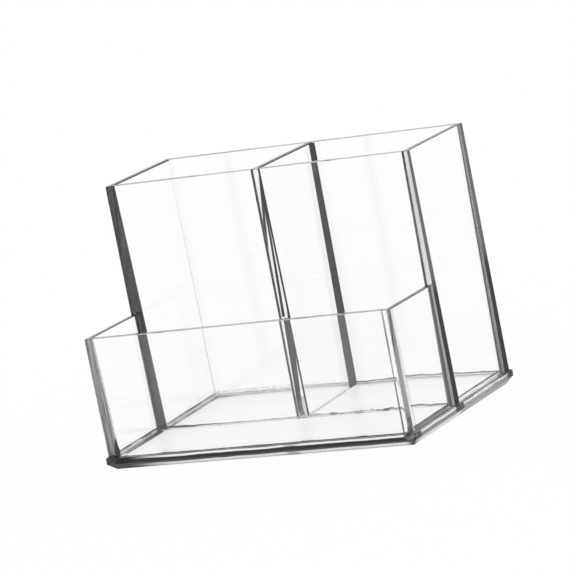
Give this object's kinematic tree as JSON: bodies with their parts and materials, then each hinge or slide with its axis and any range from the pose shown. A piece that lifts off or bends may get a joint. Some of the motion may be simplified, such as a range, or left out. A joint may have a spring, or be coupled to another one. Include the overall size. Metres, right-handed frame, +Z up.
{
  "type": "cosmetic organizer",
  "caption": "Clear acrylic open-top organizer: a low full-width front tray and two tall rear compartments, cemented plates on a bevelled base plate.",
  "frame": {"origin": "middle of the base plate's underside, on the surface that it stands on", "axes": "+X to the right across the width, +Y from the front tray to the back, +Z up"},
  "size_m": [0.1724, 0.1174, 0.134],
  "materials": {
    "clear_wall_sheet": "clear, polished",
    "clear_base_sheet": "clear, polished, bevelled edge"
  },
  "bodies": {
    "root": {"base_plate": "clear_base_sheet", "tray_front": "clear_wall_sheet", "tray_left": "clear_wall_sheet", "tray_right": "clear_wall_sheet", "partition": "clear_wall_sheet", "tall_left": "clear_wall_sheet", "tall_right": "clear_wall_sheet", "divider": "clear_wall_sheet", "back_panel": "clear_wall_sheet"}
  },
  "joints": []
}
